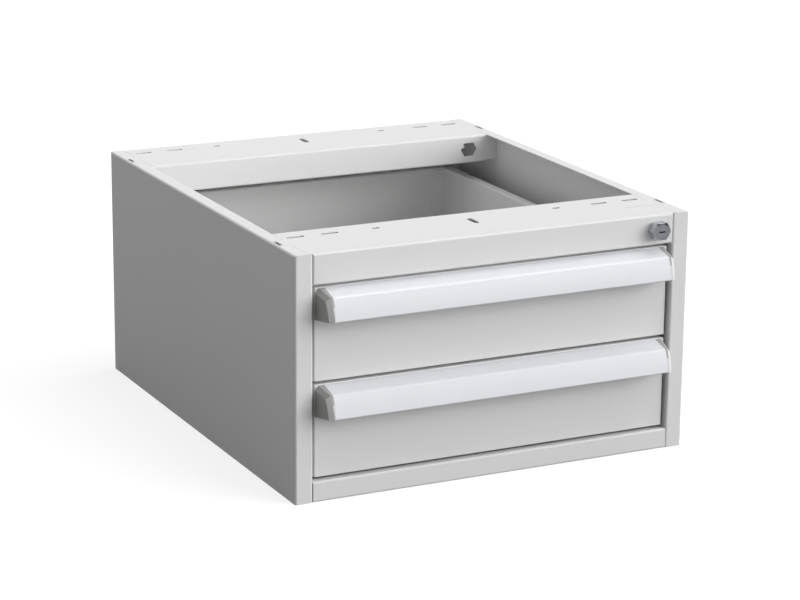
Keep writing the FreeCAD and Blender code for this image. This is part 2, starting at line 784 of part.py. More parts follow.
def inner_front(drawer, level):
    """Plate across the front end of the tray, welded round its edge, with the front screwed to it."""
    body = new_body(f"{drawer}_inner_front", level + S.tray_lift)
    pad(body, "XZ_Plane", tray_start, S.tray_sheet, rectangle(-tray_half, tray_half, 0, S.tray_height))
    round_edges(body, S.tray_bend, "Y", (-tray_half, 0), (tray_half, 0))
    pocket(body, "XZ_Plane", tray_start, S.tray_sheet, *(
        circle(across, height - S.tray_lift, S.screw_radius + S.screw_clearance)
        for across, height in front_screw_spots()))


def drawer_tray(drawer, level):
    """Bottom and two flanged sides, with folds at the rear for the back."""
    body = new_body(f"{drawer}_drawer_tray", level + S.tray_lift)
    skin, high, bend = S.tray_sheet, S.tray_height, S.tray_bend
    outer, inner, brim = tray_half, tray_half - S.tray_sheet, tray_half + S.tray_flange
    half_outline = [(outer, 0), (outer, high - skin), (brim, high - skin), (brim, high),
                    (inner, high), (inner, skin)]
    start = tray_start + skin
    pad(body, "XZ_Plane", start, tray_end - start,
        polygon(*half_outline, *[(-across, height) for across, height in half_outline[::-1]]))
    for amount, places in ((bend, ((outer, 0), (inner, high))),
                           (bend - skin, ((inner, skin), (outer, high - skin)))):
        mirrored = [(-across, height) for across, height in places]
        round_edges(body, amount, "Y", *places, *mirrored)
    for side in SIDES.values():
        pad(body, "XZ_Plane", tray_end - skin, skin,
            rectangle(side * inner, side * (inner - S.tray_fold), skin / 2, high - bend))
    pocket(body, "YZ_Plane", -brim, 2 * brim, *(
        circle(row, S.slide_lift - S.tray_lift, S.screw_radius + S.screw_clearance)
        for row in tray_screw_rows))


def drawer_back(drawer, level):
    """Rear wall behind the folds of the tray, its top edge folded back."""
    body = new_body(f"{drawer}_drawer_back", level + S.tray_lift)
    skin, high = S.tray_sheet, S.tray_height
    pad(body, "YZ_Plane", -tray_half, 2 * tray_half, polygon(
        (tray_end, 0), (tray_end + skin, 0), (tray_end + skin, high - skin),
        (tray_end + S.back_flange, high - skin), (tray_end + S.back_flange, high), (tray_end, high)))
    round_edges(body, S.tray_bend, "X", (tray_end, high))
    round_edges(body, S.tray_bend - skin, "X", (tray_end + skin, high - skin))


def handle_outline():
    """Corners of the handle's outside: back top, ridge, lip and back bottom."""
    face, top = S.front_recess, front_height - S.handle_drop
    return ((face, top), (face - S.handle_ridge, top - S.handle_slope),
            (face - S.handle_reach, top - S.handle_height), (face, top - S.handle_height))


def grip_outline(*below):
    """The handle's outside, its front face a shallow arc from ridge to lip, with the corners below it."""
    def draw(sketch):
        back_top, ridge, lip = handle_outline()[:3]
        places = [back_top, ridge, lip, *below]
        corners = [Vector(float(y), float(z), 0) for y, z in places]
        chord = corners[2] - corners[1]
        outward = Vector(chord.y, -chord.x, 0).normalize()
        crest = (corners[1] + corners[2]) * 0.5 + outward * float(S.handle_bulge)
        pieces = []
        for number, start in enumerate(corners):
            end = corners[(number + 1) % len(corners)]
            edge = Part.Arc(start, crest, end) if number == 1 else Part.LineSegment(start, end)
            piece = sketch.addGeometry(edge)
            ahead = sketch.getPoint(piece, 1).distanceToPoint(start) < 1e-6
            pieces.append((piece, 1, 2) if ahead else (piece, 2, 1))
        for number, (piece, _, finish) in enumerate(pieces):
            following, start, _ = pieces[(number + 1) % len(pieces)]
            sketch.addConstraint(Sketcher.Constraint("Coincident", piece, finish, following, start))
            if number != 1:
                hold_point(sketch, piece, 1, places[number])
        hold_point(sketch, pieces[0][0], 2, ridge)
        reach, fall = S.handle_reach - S.handle_ridge, S.handle_height - S.handle_slope
        square = reach * reach + fall * fall
        hold(sketch, "Radius", pieces[1][0], square / (8 * S.handle_bulge) + S.handle_bulge / 2)
    return draw


def handle(drawer, level):
    """Extruded grip along the top of the front, hollow and open below for the fingers."""
    body = new_body(f"{drawer}_handle", level)
    length = front_half - S.cap_length
    back_top, ridge, lip, back_low = handle_outline()
    pad(body, "YZ_Plane", -length, 2 * length, grip_outline(back_low))
    round_edges(body, S.handle_ridge_bend, "X", ridge)
    base = body.Tip
    open_faces = [f"Face{number}" for number, item in enumerate(base.Shape.Faces, start=1)
                  if abs(abs(item.CenterOfMass.x) - float(length)) < 1e-6
                  or abs(item.CenterOfMass.z - float(back_low[1])) < 1e-6]
    shell = body.newObject("PartDesign::Thickness", body.Name + "_thickness")
    shell.Base = (base, open_faces)
    shell.Reversed = True
    bind(shell, "Value", S.handle_wall)
    doc.recompute()
    round_edges(body, S.handle_edge, "X", lip)
    pocket(body, "XZ_Plane", S.front_recess - S.handle_wall, S.handle_wall, *(
        circle(step * S.handle_screw_place, handle_screw_level, S.screw_radius + S.screw_clearance)
        for step in (-1, 0, 1)))


def handle_cap(drawer, level, name, side):
    """Moulded end of the handle: its outer face leans in towards the front, with a wide bevel."""
    body = new_body(f"{drawer}_handle_{name}_cap", level)
    start, end = front_half - S.cap_length, front_half - S.cap_margin
    low_side = start if side > 0 else -end
    back_top, ridge, lip, back_low = handle_outline()
    tip, base_level = lip[0], back_low[1] - S.cap_rear_drop
    pad(body, "YZ_Plane", low_side, end - start, grip_outline((back_low[0], base_level)))
    front_end, beyond, ahead = end - S.cap_taper, end + S.overcut, tip - S.overcut
    pocket(body, "XY_Plane", base_level, S.handle_height + S.cap_rear_drop, polygon(
        (side * end, S.front_recess), (side * front_end, tip), (side * front_end, ahead),
        (side * beyond, ahead), (side * beyond, S.front_recess)))
    shape = body.Tip.Shape
    outer_face = max(shape.Faces, key=lambda item: side * item.CenterOfMass.x)
    edges = []
    for number, edge in enumerate(shape.Edges, start=1):
        middle = edge.valueAt((edge.FirstParameter + edge.LastParameter) / 2)
        at_back = abs(middle.y - float(S.front_recess)) < 1e-6
        under = middle.z < float(back_low[1]) and middle.y - float(tip) > 1
        if any(edge.isSame(rim) for rim in outer_face.Edges) and not at_back and not under:
            edges.append(f"Edge{number}")
    dress_edges("Chamfer", "Size", body, S.cap_bevel, edges)
    plug_low, plug_high = back_low[1] + S.handle_wall, back_top[1] - S.handle_height / 2
    low_side = start - S.cap_plug if side > 0 else -start
    pad(body, "YZ_Plane", low_side, S.cap_plug, rectangle(
        S.front_recess - S.handle_ridge + 2 * S.handle_wall, S.front_recess - S.handle_wall - S.weld_gap,
        plug_low + S.weld_gap, plug_high))


def fasteners(label, level, spots, axis, outward, head, shank, radius=None, head_radius=None):
    """Headed pins that share one part: each has its head's seat at a spot, its head on the outward side.

    Across the unit the pins left of the middle are turned round, so outward is away from the middle."""
    radius = S.screw_radius if radius is None else radius
    head_radius = S.screw_head_radius if head_radius is None else head_radius
    solids = []
    for spot in spots:
        seat = Vector(*(float(amount) for amount in spot))
        turn = -outward if axis == "X" and seat.x < 0 else outward
        way = Vector(*(float(turn) if letter == axis else 0.0 for letter in "XYZ"))
        top = Part.makeCylinder(float(head_radius), float(head), seat, way)
        rim = [edge for edge in top.Edges if edge.Closed
               and (edge.CenterOfMass - seat).dot(way) > float(head) / 2]
        top = top.makeChamfer(float(S.screw_bevel), rim)
        stem = Part.makeCylinder(float(radius), float(shank), seat, way * -1)
        solids.append(top.fuse(stem).removeSplitter().Solids[0])
    group = doc.addObject("Part::Feature", label)
    group.Label = label
    group.Shape = Part.makeCompound(solids)
    place_part(group, level)


def slide_screws():
    """Screws through the cabinet members into the uprights, their heads towards the middle."""
    spots = [(side * (slide_back - S.slide_sheet), row + S.upright_width / 2, level + S.slide_lift)
             for side in SIDES.values() for row in UPRIGHT_ROWS.values() for level in DRAWERS.values()]
    fasteners("slide_screws", 0, spots, "X", -1, S.screw_head,
              S.slide_sheet + S.shell_thickness + S.screw_end)


def drawer_screws(drawer, level):
    """Screws of one drawer: slides to tray, tray to front and handle to front."""
    spots = [(side * (tray_half + S.slide_sheet), row, S.slide_lift)
             for side in SIDES.values() for row in tray_screw_rows]
    fasteners(f"{drawer}_tray_screws", level, spots, "X", 1, S.screw_head, S.slide_sheet + S.tray_sheet)
    spots = [(across, tray_start + S.tray_sheet, height) for across, height in front_screw_spots()]
    fasteners(f"{drawer}_front_screws", level, spots, "Y", 1, S.screw_head,
              S.tray_sheet + S.front_sheet + S.screw_end)
    spots = [(step * S.handle_screw_place, S.front_recess + S.front_sheet, handle_screw_level)
             for step in (-1, 0, 1)]
    fasteners(f"{drawer}_handle_screws", level, spots, "Y", 1, S.screw_head, S.front_sheet + S.handle_wall)


def back_rivets():
    spots = [(across, S.cabinet_depth, level) for across, level in rivet_spots()]
    fasteners("back_rivets", 0, spots, "Y", 1, S.rivet_head, 2 * S.shell_thickness + S.rivet_tail,
              S.rivet_radius, S.rivet_head_radius)


# --- lock ------------------------------------------------------------------------------------

cam_row = S.plug_tail
bar_edge = wall_face - S.bar_wall_gap
bar_inner = bar_edge - S.bar_width
quarter = math.sqrt(0.5)
arm_level = lock_level - quarter * S.crank_radius
finger_floor = S.slide_lift + slide_half + S.finger_clearance
catch_floor = finger_floor + S.finger_height + S.catch_clearance


def lock_barrel():
    """Six-sided head and shoulder, then a round body bored for the plug."""
    body = new_body("lock_barrel")
    pad(body, "XZ_Plane", -S.lock_reach, S.lock_reach,
        hexagon(lock_place, lock_level, S.lock_head_flats, S.lock_head_corners))
    corner = S.lock_head_corners / 2
    slope = S.lock_bevel / (corner - S.lock_face_radius)
    rim = corner + S.overcut
    turn_away(body, lock_place, lock_level, (-S.lock_reach - S.overcut, lock_level + S.lock_face_radius),
              (-S.lock_reach, lock_level + S.lock_face_radius),
              (S.lock_bevel + slope * S.overcut - S.lock_reach, lock_level + rim),
              (-S.lock_reach - S.overcut, lock_level + rim))
    play = 2 * S.lock_hole_play
    pad(body, "XZ_Plane", 0, S.shell_thickness,
        hexagon(lock_place, lock_level, S.lock_hole_flats - play, S.lock_hole_corners - play))
    pad(body, "XZ_Plane", 0, S.barrel_length, circle(lock_place, lock_level, S.barrel_radius))
    flank, key = lock_place - S.lock_hole_corners / 2, S.lock_hole_key
    pocket(body, "XZ_Plane", 0, S.barrel_length, rectangle(
        flank - key, flank + 2 * key + S.lock_hole_play,
        lock_level + key - S.lock_hole_play, lock_level + 2 * key + S.lock_hole_play))
    pocket(body, "XZ_Plane", -S.lock_reach, S.lock_reach + S.barrel_length,
           circle(lock_place, lock_level, S.plug_radius + S.running_gap))
    pocket(body, "XZ_Plane", -S.lock_reach, S.plug_recess + S.plug_head + S.running_gap,
           circle(lock_place, lock_level, S.plug_head_radius + S.running_gap))


def lock_nut():
    body = new_body("lock_nut")
    corners = S.nut_flats * 2 / math.sqrt(3)
    pad(body, "XZ_Plane", S.shell_thickness, S.nut_thickness,
        hexagon(lock_place, lock_level, S.nut_flats, corners),
        circle(lock_place, lock_level, S.barrel_radius + S.running_gap))


def lock_plug():
    """Turns in the barrel; its front has the keyway and its tail carries the cam."""
    body = new_body("lock_plug")
    front = S.plug_recess - S.lock_reach
    pad(body, "XZ_Plane", front, S.plug_head, circle(lock_place, lock_level, S.plug_head_radius))
    pad(body, "XZ_Plane", front, cam_row - front, circle(lock_place, lock_level, S.plug_radius))
    pocket(body, "XZ_Plane", front, S.keyway_depth, rectangle(
        lock_place - S.keyway_length / 2, lock_place + S.keyway_length / 2,
        lock_level - S.keyway_width / 2, lock_level + S.keyway_width / 2))
    pocket(body, "XZ_Plane", cam_row - S.cam_screw_depth, S.cam_screw_depth,
           circle(lock_place, lock_level, S.screw_radius + S.screw_clearance))


def lock_cam():
    """Crank on the plug's tail, its pin in the slot of the locking bar."""
    body = new_body("lock_cam")
    offset = quarter * S.crank_radius
    width = S.cam_width / 2
    pad(body, "XZ_Plane", cam_row, S.cam_thickness, circle(lock_place, lock_level, width))
    pad(body, "XZ_Plane", cam_row, S.cam_thickness,
        circle(lock_place + offset, lock_level - offset, 2 * S.crank_pin))
    side = quarter * width
    toe = quarter * 2 * S.crank_pin
    pad(body, "XZ_Plane", cam_row, S.cam_thickness, polygon(
        (lock_place - side, lock_level - side), (lock_place + offset - toe, lock_level - offset - toe),
        (lock_place + offset + toe, lock_level - offset + toe), (lock_place + side, lock_level + side)))
    pad(body, "XZ_Plane", cam_row, S.cam_thickness + S.crank_pin_length,
        circle(lock_place + offset, lock_level - offset, S.crank_pin))
    pocket(body, "XZ_Plane", cam_row, S.cam_thickness,
           circle(lock_place, lock_level, S.screw_radius + S.screw_clearance))


def locking_bar():
    """Upright strip with a slotted arm for the crank pin and a finger below each drawer's catch."""
    body = new_body("locking_bar")
    offset = quarter * S.crank_radius
    arm_low, arm_high = arm_level - S.bar_arm_height / 2, arm_level + S.bar_arm_height / 2
    pad(body, "XZ_Plane", S.bar_row, S.bar_thickness, rectangle(bar_inner, bar_edge, S.bar_base, arm_high))
    slot_start = lock_place + offset - S.crank_pin - S.bar_slot_play
    slot_finish = lock_place + S.crank_radius + S.crank_pin + S.bar_slot_play
    pad(body, "XZ_Plane", S.bar_row, S.bar_thickness,
        rectangle(slot_start - S.crank_pin, bar_inner + S.overcut, arm_low, arm_high))
    for level in DRAWERS.values():
        pad(body, "XZ_Plane", S.bar_row, S.bar_thickness, rectangle(
            bar_inner - S.finger_reach, bar_inner + S.overcut, level + finger_floor,
            level + finger_floor + S.finger_height))
    pocket(body, "XZ_Plane", S.bar_row, S.bar_thickness, slot(
        (slot_start + slot_finish) / 2, arm_level, slot_finish - slot_start,
        2 * (S.crank_pin + S.bar_slot_play)))


def bar_guide(name, level):
    """Block on the side wall that the locking bar slides through."""
    body = new_body(name, level)
    wall, gap = S.guide_wall, S.guide_gap
    front, rear = S.bar_row - gap - wall, S.bar_row + S.bar_thickness + gap + wall
    pad(body, "XY_Plane", 0, S.guide_height, rectangle(bar_inner - gap - wall / 2, wall_face, front, rear))
    pocket(body, "XY_Plane", 0, S.guide_height,
           rectangle(bar_inner - gap, bar_edge + gap, front + wall, rear - wall))


def lock_catch(drawer, level):
    """Angle on the tray's right wall; the raised finger stands in front of its leg."""
    body = new_body(f"{drawer}_lock_catch", level)
    front = S.bar_row + S.bar_thickness + S.catch_gap
    skin = S.catch_thickness
    pad(body, "XY_Plane", catch_floor, S.catch_height, polygon(
        (tray_half, front), (tray_half + S.catch_reach, front), (tray_half + S.catch_reach, front + skin),
        (tray_half + skin, front + skin), (tray_half + skin, front + S.catch_length),
        (tray_half, front + S.catch_length)))
    round_edges(body, S.tray_bend, "Z", (tray_half + skin, front + skin))


def build():
    for name, side in SIDES.items():
        side_panel(name, side)
    front_top_rail()
    rear_top_rail()
    floor_panel()
    back_panel()
    back_rivets()
    for name, side in SIDES.items():
        for end, row in UPRIGHT_ROWS.items():
            upright(f"{name}_{end}_upright", side, row)
    slide_screws()
    for drawer, level in DRAWERS.items():
        for name, side in SIDES.items():
            slide_members(drawer, level, name, side)
            handle_cap(drawer, level, name, side)
        ball_cages(drawer, level)
        drawer_front(drawer, level)
        inner_front(drawer, level)
        drawer_tray(drawer, level)
        drawer_back(drawer, level)
        handle(drawer, level)
        lock_catch(drawer, level)
        drawer_screws(drawer, level)
    lock_barrel()
    lock_nut()
    lock_plug()
    lock_cam()
    fasteners("cam_screw", 0, [(lock_place, cam_row + S.cam_thickness, lock_level)], "Y", 1,
              S.cam_screw_head, S.cam_thickness + S.cam_screw_depth - S.weld_gap,
              S.screw_radius, S.cam_screw_radius)
    locking_bar()
    bar_guide("lower_bar_guide", S.lower_guide_rise)
    bar_guide("upper_bar_guide", S.cabinet_height - S.upper_guide_drop)


def check_and_write():
    """Stop at anything that failed, then write one file for each part."""
    doc.recompute()
    failed = [item.Label for item in doc.Objects if {"Invalid", "Error"} & set(item.State)]
    if failed:
        raise ValueError("failed: " + ", ".join(failed))
    os.makedirs("parts", exist_ok=True)
    for part in parts:
        if part.Shape.isNull() or not part.Shape.isValid():
            raise ValueError(f"{part.Label}: bad shape")
    for part in parts:
        part.Shape.exportStep(f"parts/{part.Label}.step")


build()
check_and_write()
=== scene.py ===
import json
import logging
import math
from dataclasses import dataclass
from enum import Enum
from typing import Any, Mapping, Sequence

import bmesh
import bpy
from mathutils import Matrix, Vector


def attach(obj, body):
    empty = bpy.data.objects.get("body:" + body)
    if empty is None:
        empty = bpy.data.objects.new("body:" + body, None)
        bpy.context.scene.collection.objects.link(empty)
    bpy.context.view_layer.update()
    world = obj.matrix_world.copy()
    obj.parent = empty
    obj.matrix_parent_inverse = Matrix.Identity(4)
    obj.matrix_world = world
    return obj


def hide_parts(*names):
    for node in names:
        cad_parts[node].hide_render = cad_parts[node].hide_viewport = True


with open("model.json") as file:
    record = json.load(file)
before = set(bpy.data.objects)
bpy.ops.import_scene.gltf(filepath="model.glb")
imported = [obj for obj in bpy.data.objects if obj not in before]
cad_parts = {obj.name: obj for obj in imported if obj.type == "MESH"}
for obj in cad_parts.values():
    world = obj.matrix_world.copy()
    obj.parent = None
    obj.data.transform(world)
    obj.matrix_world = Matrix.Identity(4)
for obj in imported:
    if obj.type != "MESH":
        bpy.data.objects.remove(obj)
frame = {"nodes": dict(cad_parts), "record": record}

log = logging.getLogger("drawer_unit")
MM = 0.001
WELD = 0.001 * MM
# attribute that masks the painted highlight on the front-facing faces of the handle caps
PAINTED_LIT_FRONT = "faces_front"

Colour = tuple[float, float, float]
Box = tuple[Vector, Vector]


class Wire:
    """One output of a node, usable in arithmetic."""

    def __init__(self, tree: "Tree", node: bpy.types.Node, socket: bpy.types.NodeSocket) -> None:
        """Keep the tree, the node and the socket that carries the value."""
        self.tree, self.owner, self.socket = tree, node, socket

    def out(self, name: str) -> "Wire":
        """Another output of the same node."""
        return Wire(self.tree, self.owner, self.owner.outputs[name])

    def _maths(self, operation: str, first: Any, second: Any) -> "Wire":
        """A Math node on two values."""
        return self.tree.node("ShaderNodeMath", {"operation": operation}, {0: first, 1: second})

    def __add__(self, other: Any) -> "Wire":
        """This value plus another."""
        return self._maths("ADD", self, other)

    def __sub__(self, other: Any) -> "Wire":
        """This value less another."""
        return self._maths("SUBTRACT", self, other)

    def __rsub__(self, other: Any) -> "Wire":
        """Another value less this one."""
        return self._maths("SUBTRACT", other, self)

    def __mul__(self, other: Any) -> "Wire":
        """This value times another."""
        return self._maths("MULTIPLY", self, other)

    __radd__ = __add__
    __rmul__ = __mul__


class Tree:
    """A node tree, filled one node at a time."""

    def __init__(self, tree: bpy.types.NodeTree) -> None:
        """Start on an empty tree."""
        self.tree = tree
        tree.nodes.clear()

    def node(self, kind: str, settings: Mapping[str, Any] | None = None,
             inputs: Mapping[Any, Any] | None = None) -> Wire:
        """Add a node.

        Args:
            kind: the node's type.
            settings: its properties, set first; "stops" gives a ramp's places and colours.
            inputs: a value, a Wire or a list of Wires for each input, by name or number.

        Returns:
            The node's first usable output; its socket is None where the node has none.
        """
        node = self.tree.nodes.new(kind)
        for name, value in (settings or {}).items():
            if name == "stops":
                self._stops(node.color_ramp.elements, value)
            else:
                setattr(node, name, value)
        for key, value in (inputs or {}).items():
            self._feed(node.inputs[key], value)
        outputs = [socket for socket in node.outputs if socket.enabled]
        return Wire(self, node, outputs[0] if outputs else None)

    def _feed(self, socket: bpy.types.NodeSocket, value: Any) -> None:
        """Link or set one input."""
        for item in value if isinstance(value, list) else [value]:
            if isinstance(item, Wire):
                self.tree.links.new(item.socket, socket)
            elif isinstance(item, tuple) and len(item) == 3 and socket.type == "RGBA":
                socket.default_value = (*item, 1.0)
            else:
                socket.default_value = item

    @staticmethod
    def _stops(elements: Any, stops: Sequence[tuple[float, Colour]]) -> None:
        """Set the stops of a colour ramp."""
        while len(elements) < len(stops):
            elements.new(1.0)
        for element, (place, colour) in zip(elements, stops):
            element.position = place
            element.color = (*colour, 1.0)


class Shader(Tree):
    """The tree of one material, around a single surface shader."""

    def __init__(self, material: bpy.types.Material) -> None:
        """Clear the material's tree and note the object's own coordinates."""
        material.use_nodes = True
        super().__init__(material.node_tree)
        self.place = self.node("ShaderNodeTexCoord").out("Object")

    def stretched(self, scale: Colour) -> Wire:
        """Object coordinates with a scale for each axis."""
        return self.node("ShaderNodeMapping", None, {"Vector": self.place, "Scale": scale})

    def noise(self, scale: float, detail: float = 2.0, where: Wire | None = None) -> Wire:
        """A noise value from 0 to 1.

        Args:
            scale: how many cells fit in a metre.
            detail: how many finer layers are added.
            where: other coordinates than the object's.

        Returns:
            The noise's value.
        """
        return self.node("ShaderNodeTexNoise", None,
                         {"Vector": where or self.place, "Scale": scale, "Detail": detail})

    def blend(self, share: Any, first: Any, second: Any) -> Wire:
        """A colour between two, by share."""
        mixed = self.node("ShaderNodeMix", {"data_type": "RGBA"}, {0: share, 6: first, 7: second})
        return Wire(self, mixed.owner, mixed.owner.outputs[2])

    def bump(self, height: Any, distance: float, strength: float = 1.0) -> Wire:
        """A normal from a height."""
        return self.node("ShaderNodeBump", None,
                         {"Height": height, "Distance": distance, "Strength": strength})

    def surface(self, inputs: Mapping[str, Any]) -> None:
        """Close the tree with the surface shader.

        Args:
            inputs: a value or a Wire for each of the shader's inputs.
        """
        shader = self.node("ShaderNodeBsdfPrincipled", None, inputs)
        self.node("ShaderNodeOutputMaterial", None, {"Surface": shader})


@dataclass(frozen=True)
class Finish:
    """What a surface is made of: a colour and a gloss that wander a little about their middles."""

    name: str
    colour: Colour
    roughness: float
    dark_share: float = 0.985
    light_share: float = 1.01
    gloss_spread: float = 0.08
    relief: float = 0.02 * MM

    def material(self) -> bpy.types.Material:
        """The finish as a material, made once."""
        label = self.name + "_finish"
        found = bpy.data.materials.get(label)
        if found is None:
            found = bpy.data.materials.new(label)
            self.paint(Shader(found))
        return found

    def paint(self, shader: Shader) -> None:
        """Fill the material's tree."""
        raise NotImplementedError

    def tone(self, share: float) -> Colour:
        """The colour made lighter or darker."""
        return tuple(min(1.0, part * share) for part in self.colour)

    def wandering_colour(self, shader: Shader, share: Wire) -> Wire:
        """A colour from the finish's darkest to its lightest tone, by share."""
        return shader.blend(share, self.tone(self.dark_share), self.tone(self.light_share))

    def wandering_gloss(self, share: Wire) -> Wire:
        """A roughness about the finish's own, by a share from 0 to 1."""
        return self.roughness + (share - 0.5) * self.gloss_spread


@dataclass(frozen=True)
class PowderCoat(Finish):
    """Baked powder on sheet steel: satin, with a fine orange peel."""

    peel_scale: float = 420.0
    grain_scale: float = 2100.0
    cloud_scale: float = 6.0
    grain_share: float = 0.2
    ior: float = 1.45

    def paint(self, shader: Shader) -> None:
        """Even colour, a trace of cloud, peel in the normal."""
        peel = shader.noise(self.peel_scale, 1.0)
        grain = shader.noise(self.grain_scale, 0.0)
        cloud = shader.noise(self.cloud_scale)
        skin = peel * (1.0 - self.grain_share) + grain * self.grain_share
        shader.surface({
            "Base Color": self.wandering_colour(shader, cloud),
            "Roughness": self.wandering_gloss(grain),
            "Normal": shader.bump(skin, self.relief),
            "IOR": self.ior,
        })


@dataclass(frozen=True)
class Anodised(Finish):
    """Satin anodised aluminium extrusion with fine lines along its length."""

    line_scale: Colour = (6.0, 1500.0, 1500.0)
    haze_scale: float = 14.0
    metallic: float = 0.15
    gloss_spread: float = 0.12
    relief: float = 0.004 * MM

    def paint(self, shader: Shader) -> None:
        """Partly metal, with drawn lines along X."""
        lines = shader.noise(1.0, where=shader.stretched(self.line_scale))
        shader.surface({
            "Base Color": self.wandering_colour(shader, shader.noise(self.haze_scale)),
            "Metallic": self.metallic,
            "Roughness": self.wandering_gloss(lines),
            "Normal": shader.bump(lines, self.relief),
        })


@dataclass(frozen=True)
class Moulded(Finish):
    """Plastic moulding with a fine spark-eroded texture, and a painted highlight: a lighter colour
    on the faces that look to the front, standing in for the light and sheen there.
    """

    texture_scale: float = 2600.0
    # painted highlight: the lighter colour put on front-facing faces in place of the light that
    # falls there
    front_colour: Colour = (0.66, 0.66, 0.66)
    ior: float = 1.49
    dark_share: float = 0.96
    light_share: float = 1.03
    gloss_spread: float = 0.1
    relief: float = 0.01 * MM

    def paint(self, shader: Shader) -> None:
        """Matte colour with a fine grain, with the painted highlight's lighter colour on the faces
        marked as looking to the front.
        """
        grain = shader.noise(self.texture_scale, 1.0)
        body = self.wandering_colour(shader, grain)
        # mask of the painted highlight: 1 on the faces marked as looking to the front
        facing = shader.node("ShaderNodeAttribute", {"attribute_name": PAINTED_LIT_FRONT}).out("Fac")
        shader.surface({
            "Base Color": shader.blend(facing, body, self.front_colour),
            "Roughness": self.wandering_gloss(grain),
            "Normal": shader.bump(grain, self.relief),
            "IOR": self.ior,
        })


@dataclass(frozen=True)
class Plated(Finish):
    """Zinc or nickel on steel: metal with small cloudy patches."""

    patch_scale: float = 160.0
    patch_detail: float = 3.0
    scratch_scale: Colour = (900.0, 60.0, 900.0)
    dark_share: float = 0.9
    light_share: float = 1.06
    gloss_spread: float = 0.16
    relief: float = 0.003 * MM

    def paint(self, shader: Shader) -> None:
        """Metal whose tone and gloss wander slightly."""
        patch = shader.noise(self.patch_scale, self.patch_detail)
        scratch = shader.noise(1.0, 1.0, shader.stretched(self.scratch_scale))
        shader.surface({
            "Base Color": self.wandering_colour(shader, patch),
            "Metallic": 1.0,
            "Roughness": self.wandering_gloss(patch),
            "Normal": shader.bump(scratch, self.relief),
        })


class Finishes(Enum):
    """The finishes of the record's material slots, by slot."""

    powder_coat = PowderCoat("powder_coat", (0.757, 0.757, 0.754), 0.42)
    anodised_aluminium = Anodised("anodised_aluminium", (0.81, 0.825, 0.86), 0.45)
    grey_plastic = Moulded("grey_plastic", (0.38, 0.38, 0.37), 0.5)
    lock_metal = Plated("lock_metal", (0.55, 0.58, 0.62), 0.28)
    zinc_steel = Plated("zinc_steel", (0.66, 0.67, 0.68), 0.32)
    nylon = Moulded("nylon", (0.80, 0.80, 0.76), 0.45)

    @property
    def material(self) -> bpy.types.Material:
        """The finish as a material."""
        return self.value.material()


class Recess(Enum):
    """What is sunk into the head of a fastener."""

    CROSS = "cross"
    PIN = "pin"


@dataclass
class Growth(Tree):
    """A geometry tree with named inputs, applied to points and turned into a plain mesh."""

    name: str

    def __post_init__(self) -> None:
        """Make the tree with its geometry in and out."""
        group = bpy.data.node_groups.new(self.name, "GeometryNodeTree")
        Tree.__init__(self, group)
        group.interface.new_socket("Geometry", in_out="INPUT", socket_type="NodeSocketGeometry")
        group.interface.new_socket("Geometry", in_out="OUTPUT", socket_type="NodeSocketGeometry")
        self.entry = self.node("NodeGroupInput")

    def ask(self, name: str, kind: str = "NodeSocketFloat") -> Wire:
        """A named input of the tree."""
        self.tree.interface.new_socket(name, in_out="INPUT", socket_type=kind)
        return self.entry.out(name)

    def shift(self, geometry: Wire, x: Any = 0.0, y: Any = 0.0, z: Any = 0.0) -> Wire:
        """The geometry moved."""
        by = self.node("ShaderNodeCombineXYZ", None, {0: x, 1: y, 2: z})
        return self.node("GeometryNodeTransform", None, {"Geometry": geometry, "Translation": by})

    def size(self, x: Any, y: Any, z: Any) -> Wire:
        """A vector of three sizes."""
        return self.node("ShaderNodeCombineXYZ", None, {0: x, 1: y, 2: z})

    def join(self, *geometries: Wire) -> Wire:
        """Several geometries as one."""
        return self.node("GeometryNodeJoinGeometry", None, {"Geometry": list(geometries)})

    def close(self, points: Wire, shape: Wire, turn: Any) -> None:
        """Set the shape on every point, realize it and give it its material.

        Args:
            points: where the shapes go.
            shape: what goes there.
            turn: its rotation.
        """
        placed = self.node("GeometryNodeInstanceOnPoints", None,
                           {"Points": points, "Instance": shape, "Rotation": turn})
        plain = self.node("GeometryNodeRealizeInstances", None, {"Geometry": placed})
        material = self.ask("Material", "NodeSocketMaterial")
        dressed = self.node("GeometryNodeSetMaterial", None,
                            {"Geometry": plain, "Material": material})
        self.node("NodeGroupOutput", None, {"Geometry": dressed})

    def grow(self, name: str, points: Sequence[Vector], values: Mapping[str, Any],
             turns: Sequence[Sequence[float]] = ()) -> bpy.types.Object:
        """Run the tree on points.

        Args:
            name: the finished object's name.
            points: the points to grow on.
            values: a value for each named input.
            turns: the Euler angles at each point, kept as the attribute "turn".

        Returns:
            A plain mesh object at the origin.
        """
        seed = bpy.data.meshes.new(name + "_points")
        seed.from_pydata([tuple(point) for point in points], [], [])
        angles = seed.attributes.new("turn", "FLOAT_VECTOR", "POINT")
        for item, turn in zip(angles.data, turns):
            item.vector = turn
        holder = bpy.data.objects.new(name + "_points", seed)
        bpy.context.scene.collection.objects.link(holder)
        modifier = holder.modifiers.new(self.name, "NODES")
        modifier.node_group = self.tree
        for item in self.tree.interface.items_tree:
            if item.item_type == "SOCKET" and item.in_out == "INPUT" and item.name in values:
                modifier[item.identifier] = values[item.name]
        holder.update_tag()
        depsgraph = bpy.context.evaluated_depsgraph_get()
        mesh = bpy.data.meshes.new_from_object(holder.evaluated_get(depsgraph), depsgraph=depsgraph)
        mesh.name = name
        holder.modifiers.clear()
        bpy.data.objects.remove(holder)
        piece = bpy.data.objects.new(name, mesh)
        bpy.context.scene.collection.objects.link(piece)
        return piece


